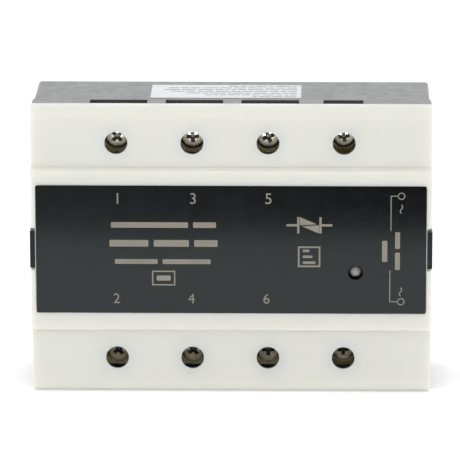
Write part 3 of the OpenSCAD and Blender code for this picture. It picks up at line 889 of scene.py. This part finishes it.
# Dashes on the snubber capacitors: place across, spans along x
CAPACITOR_MARKS = ((0.9, ((-4.8, -1.2), (-0.4, 3.0))), (-0.9, ((-4.2, 0.6), (1.3, 4.6))))


def pole_columns():
    return [sum(box_mm("terminal_screw_" + number)[0]) / 2 for number in ("1", "3", "5")]


def solder(bm, x, z, size=1.0):
    turned(bm, [(r * size, h) for r, h in SOLDER], (x, z, BOARD_T - 0.02), 16)


def resistor(bodies, bands, leads, centre, length, radius, axis, rings):
    """A resistor along X or Z, with swollen ends, colour rings and bent leads."""
    x, z, t = centre
    dx, dz = (1, 0) if axis == "X" else (0, 1)
    half = length / 2
    waist, cap, end = 0.84 * radius, 0.2 * length, 0.4

    def place(along, t_here=t):
        return x + along * dx, z + along * dz, t_here

    profile = [(0, 0)] + arc((radius - end, end), end, -90, 0, 4)
    profile += [(radius, cap - 0.3), (waist, cap + 0.5)]
    profile += [(waist, length - cap - 0.5), (radius, length - cap + 0.3)]
    profile += arc((radius - end, length - end), end, 0, 90, 4) + [(0, length)]
    direction = (dx, 0, dz)
    turned(bodies, profile, place(-half), direction=direction)
    width = 0.075 * length
    for colour, share in zip(rings, (0.12, 0.34, 0.48, 0.86)):
        r = (radius if share < 0.2 or share > 0.8 else waist) + 0.03
        start = share * length - width / 2
        profile = [(0, start), (r, start), (r, start + width), (0, start + width)]
        turned(bands[colour], profile, place(-half), direction=direction)
    for side in (-1, 1):
        bend = side * (half + 0.35)
        foot = bend + side * 0.08
        wire(leads, [place(side * (half - 0.2)), place(side * half), place(bend, t - 0.12),
                     place(foot, t - 0.5), place(foot, LEG_END)], 0.6)
        solder(leads, *place(foot)[:2])


def board_resistors():
    for node, name, radius, length, axis, z, rise, rings in RESISTORS:
        left, right = box_mm(node)[0]
        xs = pole_columns() if axis == "X" else (left + radius, right - radius)
        bodies, leads = meshes(2)
        bands = {colour: bmesh.new() for colour in BAND_COLOURS if colour in rings}
        for x in xs:
            resistor(bodies, bands, leads, (x, z, BOARD_T + rise), length, radius, axis, rings)
        colours = {"band_" + colour: band for colour, band in bands.items()}
        assemble(name, node, resistor_body=bodies, tinned_wire=leads, **colours)


def flat_leg(bm, x, z, out, top_t):
    """A stamped leg that comes out of a case, turns down and narrows towards the board."""
    thick, shoulder, tip, neck = 0.25, 0.55, 0.25, BOARD_T + 0.8
    bend = z + out
    across = (x - shoulder, x + shoulder)
    down = sorted((bend, bend - math.copysign(thick, out)))
    case(bm, across, sorted((z, bend)), (top_t - thick, top_t), 0.05)
    case(bm, across, down, (neck, top_t), 0.05)
    case(bm, (x - tip, x + tip), down, (LEG_END, neck + 0.1), 0.04)
    solder(bm, x, sum(down) / 2)


def optocoupler_set():
    bodies, legs, dots = meshes(3)
    half_x, half_z, top, pitch = 4.4, 3.15, BOARD_T + 4, 2.54
    z = -8.2
    dot = [(0, 0), (0.45, 0), (0.45, 0.02), (0, 0.02)]
    for column in pole_columns():
        x = column - 3.6
        case(bodies, (x - half_x, x + half_x), (z - half_z, z + half_z), (BOARD_T + 0.6, top), 0.16, 0.2)
        turned(dots, dot, (x - 3.4, z - 2.1, top), 20)
        for k in (-1, 0, 1):
            for side in (-1, 1):
                flat_leg(legs, x + k * pitch, z + side * 3.0, side * 0.6, BOARD_T + 2.5)
    assemble("optocoupler_set", "optocouplers", black_epoxy=bodies, tinned_wire=legs, case_mark=dots)


def rectifier_set():
    """The bridge rectifier with four legs, two current signs, a plus and a minus."""
    xs, (z0, z1), _ = box_mm("bridge_rectifier")
    x, z, top = sum(xs) / 2, (z0 + z1) / 2, BOARD_T + 3.4
    width, sign_x, period = 0.16, x + 1.85, 0.6
    body, legs, marks = meshes(3)
    case(body, xs, (z0 + 0.6, z1 - 0.6), (BOARD_T + 0.5, top), 0.18, 0.2)
    for k in (-1, 1):
        for side in (-1, 1):
            flat_leg(legs, x + k * 1.9, z + side * 3.4, side * 0.75, BOARD_T + 2.1)
        sign_z = z + k * 2.3
        wave = [0.1 * n - period for n in range(13)]
        path = [(x - 1.9 + u, sign_z + 0.3 * math.sin(u * math.pi / period)) for u in wave]
        stroke(marks, path, 0.14, marked(top))
        stroke(marks, [(sign_x - 0.55, sign_z), (sign_x + 0.55, sign_z)], width, marked(top))
    stroke(marks, [(sign_x, z + 1.75), (sign_x, z + 2.85)], width, marked(top))
    assemble("rectifier_set", "bridge_rectifier", black_epoxy=body, tinned_wire=legs, case_mark=marks)


def snubber_capacitor_set():
    """Box capacitors on small feet, with dashes of print."""
    bodies, marks = meshes(2)
    _, (z0, z1), (_, top) = box_mm("snubber_capacitors")
    half, foot = 6.5, 0.5
    for x in pole_columns():
        case(bodies, (x - half, x + half), (z0, z1), (BOARD_T + 0.5, top), 0.35)
        for foot_x in (x - 5.9, x + 5.9):
            for z in (z0 + 0.6, z1 - 0.6):
                case(bodies, (foot_x - foot, foot_x + foot), (z - foot, z + foot),
                     (BOARD_T, BOARD_T + 1), 0.1)
        for across, spans in CAPACITOR_MARKS:
            z = (z0 + z1) / 2 + across
            for start, end in spans:
                bar(marks, x + start, x + end, z - 0.3, z + 0.3, marked(top), 0.1)
    assemble("snubber_capacitor_set", "snubber_capacitors", capacitor_case=bodies, board_print=marks)


def varistor_set():
    """Coated discs on edge, whose coating runs down a little over each leg."""
    discs, legs = meshes(2)
    _, (z0, z1), (_, front) = box_mm("varistors")
    radius = (z1 - z0) / 2
    z = (z0 + z1) / 2
    centre_t = front - radius
    dip = centre_t - 3.4
    disc = [(0, 0.15), (radius * 0.6, 0.1), (radius - 0.9, 0.35)]
    disc += arc((radius - 1.0, 1.8), 1.0, -60, 60, 8)
    disc += [(radius - 0.9, 3.25), (radius * 0.6, 3.5), (0, 3.45)]
    run = [(0, 0), (0.35, 0), (0.5, 0.8), (0.85, 1.6), (0, 2.2)]
    for column in pole_columns():
        x = column + 3.6
        leg_x = x + 1.8
        turned(discs, disc, (x, z, centre_t), 40, (1, 0, 0))
        for leg_z in (z - 2.5, z + 2.5):
            turned(discs, run, (leg_x, leg_z, dip), 16)
            wire(legs, [(leg_x, leg_z, dip + 0.5), (leg_x, leg_z, LEG_END)], 0.6)
            solder(legs, leg_x, leg_z)
    assemble("varistor_set", "varistors", varistor_coating=discs, tinned_wire=legs)


def smoothing_capacitor_can():
    """A can in a sleeve with a groove, a pale stripe and a scored top, on a dark foot."""
    (x0, x1), zs, (_, top_t) = box_mm("smoothing_capacitor")
    x, z, r = (x0 + x1) / 2, sum(zs) / 2, (x1 - x0) / 2
    height = top_t - BOARD_T
    sleeve, top, stripe, foot = meshes(4)
    turned(foot, [(0, 0), (r - 0.4, 0), (r - 0.3, 0.6), (0, 0.6)], (x, z, BOARD_T), 40)
    body = [(0, 0.4), (r - 0.25, 0.4), (r, 0.7), (r, 1.2), (r - 0.22, 1.5), (r, 1.8), (r, height - 0.5)]
    body += arc((r - 0.45, height - 0.5), 0.45, 0, 80, 5) + [(r - 0.7, height - 0.06), (0, height - 0.1)]
    turned(sleeve, body, (x, z, BOARD_T), 48)
    crown = [(0, 0), (r - 0.72, 0), (r - 0.8, 0.06), (0, 0.04)]
    turned(top, crown, (x, z, top_t - 0.09), 48)
    for turn in (0.4, 0.4 + math.pi / 2):
        dx, dz = 1.5 * math.cos(turn), 1.5 * math.sin(turn)
        stroke(foot, [(x - dx, z - dz), (x + dx, z + dz)], 0.1, (top_t - 0.04, top_t - 0.02))
    for k in range(7):
        a, b = math.radians(200 + 6 * k), math.radians(206 + 6 * k)
        inner, outer = r - 0.1, r + 0.02
        outline = [(x + d * math.cos(c), z + d * math.sin(c))
                   for d, c in ((inner, a), (outer, a), (outer, b), (inner, b))]
        prism(stripe, outline, (BOARD_T + 2.1, top_t - 0.6))
    assemble("smoothing_capacitor_can", "smoothing_capacitor",
             capacitor_sleeve=sleeve, can_aluminium=top, sleeve_stripe=stripe, black_epoxy=foot)


def transistor_case():
    """A round case with one flat side, on three legs."""
    xs, (flat, crest), _ = box_mm("control_transistor")
    radius = 2.4
    x, z = sum(xs) / 2, crest - radius
    cut = math.degrees(math.asin((z - flat) / radius))
    body, legs, part = meshes(3)
    prism(part, arc((x, z), radius, -cut, 180 + cut, 24), (BOARD_T + 2, BOARD_T + 6.8))
    round_edges(part, 0.15)
    add_part(body, part)
    for leg_x in (x - 1.3, x, x + 1.3):
        case(legs, (leg_x - 0.22, leg_x + 0.22), (z - 0.2, z + 0.2), (LEG_END, BOARD_T + 2.2), 0.05)
        solder(legs, leg_x, z, 0.6)
    assemble("transistor_case", "control_transistor", black_epoxy=body, tinned_wire=legs)


def diode_bead():
    """A glass bead with one dark ring, on bent leads."""
    (left, right), zs, (_, front) = box_mm("zener_diode")
    x0, x1, z, t = left + 0.65, right - 0.65, sum(zs) / 2, front - 1.0
    glass, band, leads = meshes(3)
    length, end = x1 - x0, 0.4
    profile = [(0, 0)] + arc((0.6, end), end, -90, 0, 4)
    profile += arc((0.6, length - end), end, 0, 90, 4) + [(0, length)]
    for bm, outline in ((glass, profile), (band, [(0, 0.5), (1.02, 0.5), (1.02, 1.1), (0, 1.1)])):
        turned(bm, outline, (x0, z, t), direction=(1, 0, 0))
    for side, x in ((-1, x0), (1, x1)):
        out = x + side * 0.32
        path = [(x - side * 0.1, z, t), (out - side * 0.1, z, t), (out, z, t - 0.12), (out, z, LEG_END)]
        wire(leads, path, 0.5)
        solder(leads, out, z, 0.8)
    assemble("diode_bead", "zener_diode", diode_glass=glass, black_epoxy=band, tinned_wire=leads)


def board_print():
    """Printed outlines around the parts, and the tracks under the green mask."""
    ink, tracks = meshes(2)
    depths = (BOARD_T - 0.01, BOARD_T + TRACK_THICK)
    frames = []
    # Tracks: width and path
    lines = []
    for x in pole_columns():
        frames += [(x - 6.9, x + 6.9, 7.5, 13.3, 0.16), (x - 8.5, x + 1.2, -12.2, -4.2, 0.16),
                   (x + 3.2, x + 7.6, -13.1, -3.3, 0.16)]
        lines += [(1.4, [(side_x, 5.4), (side_x, 9.5)]) for side_x in (x - 5.75, x + 5.75)]
        lines += [
            (1.2, [(x - 5.75, 5.0), (x - 5.75, 0.6), (x + 3.3, 0.6)]),
            (1.2, [(x + 5.4, -5.7), (x + 5.4, -1.2), (x - 1.0, -1.2), (x - 1.0, -4.6)]),
            (0.6, [(x - 3.6, -4.6), (x - 3.6, -2.4)]),
            (0.6, [(x - 6.1, -11.8), (x - 6.1, -13.4), (x + 9, -13.4)]),
        ]
    for x in (23.2, 27):
        frames.append((x - 1.5, x + 1.5, -5.2, 2.6, 0.14))
        lines.append((0.7, [(x, 2.4), (x, 3.8)]))
    frames.append((33.9, 40.2, -12.6, -9.5, 0.14))
    lines += [
        (0.7, [(23.2, -5.2), (23.2, -7.6), (24.3, -9.0)]),
        (0.7, [(27, -5.2), (27, -7.6), (26.9, -9.0)]),
        (0.9, [(29.3, -12.6), (29.3, -15.0), (36, -15.0), (36, -12.4)]),
        (0.9, [(29.3, 12.6), (27.3, 11.9)]),
        (0.9, [(28.4, 4.2), (33.2, 5.2)]),
    ]
    for outline in frames:
        frame_line(ink, *outline, depths)
    for width, path in lines:
        stroke(tracks, path, width, depths)
    ring(ink, 35.6, 6.6, 3.6, 0.16, depths)
    assemble("board_tracks", None, "board_laminate", board_track=tracks, board_print=ink)


def small_screws():
    """Pan heads with a cross recess on the board screws."""
    radius, height, shank, pitch = 1.6 * MM, 1.3 * MM, 0.8 * MM, 0.4 * MM
    low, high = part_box("board_screws")
    underside = -low.y - height
    for k, x in enumerate((low.x + radius, high.x - radius)):
        for j, z in enumerate((low.z + radius, high.z - radius)):
            bm = cross_head(radius, height, 25 + 35 * k + 20 * j, 40)
            threaded_rod(bm, shank, pitch, 0, high.y + underside)
            bm.transform(front_facing((x, -underside, z)))
            piece = finish_mesh(f"board_screw_{k}{j}", bm, "screw_steel", "housing", "screw_steel", 32)
            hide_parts("board_screws")


def inside():
    board_resistors()
    optocoupler_set()
    rectifier_set()
    snubber_capacitor_set()
    varistor_set()
    smoothing_capacitor_can()
    transistor_case()
    diode_bead()
    board_print()
    small_screws()
    softened("lamp_spacer", "spacer_nylon", 0.15)
    softened("copper_tracks", "copper", 0.08, 1)
    softened("ceramic_substrates", "ceramic_white", 0.06, 1)
    softened("housing_screws", "screw_steel", 0.06)
    paint("thyristor_chips", "silicon")
    paint("chip_straps", "copper")
    paint("gate_leads", "tinned_wire")
    paint("potting_compound", "potting_gel")
    paint("control_board", "board_laminate")


# ---------- stage ----------

def camera():
    azimuth = math.radians(CAMERA_AZIMUTH)
    elevation = math.radians(CAMERA_ELEVATION)
    forward = Vector((
        -math.sin(azimuth) * math.cos(elevation),
        math.cos(azimuth) * math.cos(elevation),
        -math.sin(elevation),
    ))
    data = bpy.data.cameras.new("camera")
    data.lens = CAMERA_LENS
    data.sensor_width = 36
    made = add_object("camera", data)
    turn = forward.to_track_quat("-Z", "Y").to_matrix().to_4x4()
    roll = Matrix.Rotation(math.radians(CAMERA_ROLL), 4, "Z")
    made.matrix_world = Matrix.Translation(CAMERA_TARGET - forward * CAMERA_DISTANCE) @ turn @ roll
    bpy.context.scene.camera = made


def stage_plane(name, corners, z, material):
    mesh = bpy.data.meshes.new(name)
    mesh.from_pydata([(x, y, z) for x, y in corners], [], [tuple(range(len(corners)))])
    mesh.materials.append(material)
    made = add_object(name, mesh)
    return made


def floor():
    """White paper that glows a little, so that it stays white. From below it is clear."""
    surface = Surface("floor_paper", roughness=0.9, Specular_IOR_Level=0.1)
    surface.shader.inputs["Emission Color"].default_value = (1, 1, 1, 1)
    surface.shader.inputs["Emission Strength"].default_value = FLOOR_GLOW
    surface.colour((0.93, 0.93, 0.93), (0.92, 0.92, 0.92), 40)
    backfacing = surface.node("NewGeometry")
    clear = surface.node("BsdfTransparent")
    mixer = surface.node("MixShader")
    output = surface.tree.nodes["Material Output"]
    surface.link(backfacing.outputs["Backfacing"], mixer.inputs[0])
    surface.link(surface.shader.outputs[0], mixer.inputs[1])
    surface.link(clear.outputs[0], mixer.inputs[2])
    surface.link(mixer.outputs[0], output.inputs["Surface"])
    stage_plane("floor", FLOOR_CORNERS, FLOOR_Z, surface.material)


def dark_card():
    """The dark end of the table, which only shows as a soft reflection in glossy surfaces."""
    surface = Surface("card", roughness=1.0, Specular_IOR_Level=0.0)
    place = surface.node("TexCoord")
    parts = surface.node("SeparateXYZ")
    across = surface.node("MapRange", From_Min=-0.07, From_Max=0.05)
    surface.link(place.outputs["Object"], parts.inputs[0])
    surface.link(parts.outputs["X"], across.inputs["Value"])
    shade = surface.mix(across.outputs["Result"], (0.26, 0.26, 0.26), (0.01, 0.01, 0.01))
    surface.link(shade, surface.shader.inputs["Base Color"])
    card = stage_plane("card", CARD_CORNERS, FLOOR_Z + 0.5 * MM, surface.material)
    card.visible_camera = False
    card.visible_diffuse = False
    card.visible_shadow = False
    card.visible_transmission = False


def surroundings():
    """White surroundings, brightest behind the relay; the camera sees them as plain white."""
    world = bpy.data.worlds.new("studio")
    world.use_nodes = True
    tree = world.node_tree
    lit = tree.nodes["Background"]
    seen, direction, parts, depth, path, mixer = (
        tree.nodes.new("ShaderNode" + kind)
        for kind in ("Background", "TexCoord", "SeparateXYZ", "MapRange", "LightPath", "MixShader"))
    for background in (lit, seen):
        background.inputs["Color"].default_value = (1, 1, 1, 1)
    limits = {"From Min": -0.5, "From Max": 0.6, "To Min": FRONT_LIGHT, "To Max": BACK_LIGHT}
    for socket, value in limits.items():
        depth.inputs[socket].default_value = value
    for source, target in (
        (direction.outputs["Generated"], parts.inputs[0]),
        (parts.outputs["Y"], depth.inputs["Value"]),
        (depth.outputs["Result"], lit.inputs["Strength"]),
        (path.outputs["Is Camera Ray"], mixer.inputs[0]),
        (lit.outputs[0], mixer.inputs[1]),
        (seen.outputs[0], mixer.inputs[2]),
        (mixer.outputs[0], tree.nodes["World Output"].inputs["Surface"]),
    ):
        tree.links.new(source, target)
    bpy.context.scene.world = world


def lights():
    """Two soft boxes in front of the relay, and two spots that light only the screws."""
    for name, power, place, size, row in SOFT_BOXES:
        data = bpy.data.lights.new(name, "AREA")
        data.energy = power
        data.shape = "RECTANGLE"
        data.size, data.size_y = size
        light = add_object(name, data)
        aim = (LIGHT_AIM - Vector(place)).to_track_quat("-Z", "Y").to_matrix().to_4x4()
        light.matrix_world = Matrix.Translation(place) @ aim
        light.visible_camera = False
        if row:
            light.light_linking.receiver_collection = SCREW_ROWS[row]


camera()
floor()
dark_card()
surroundings()
lights()
bpy.context.scene.view_settings.view_transform = "Standard"
shells()
label_print()
sticker_print()
screws()
terminals()
lamp()
inside()
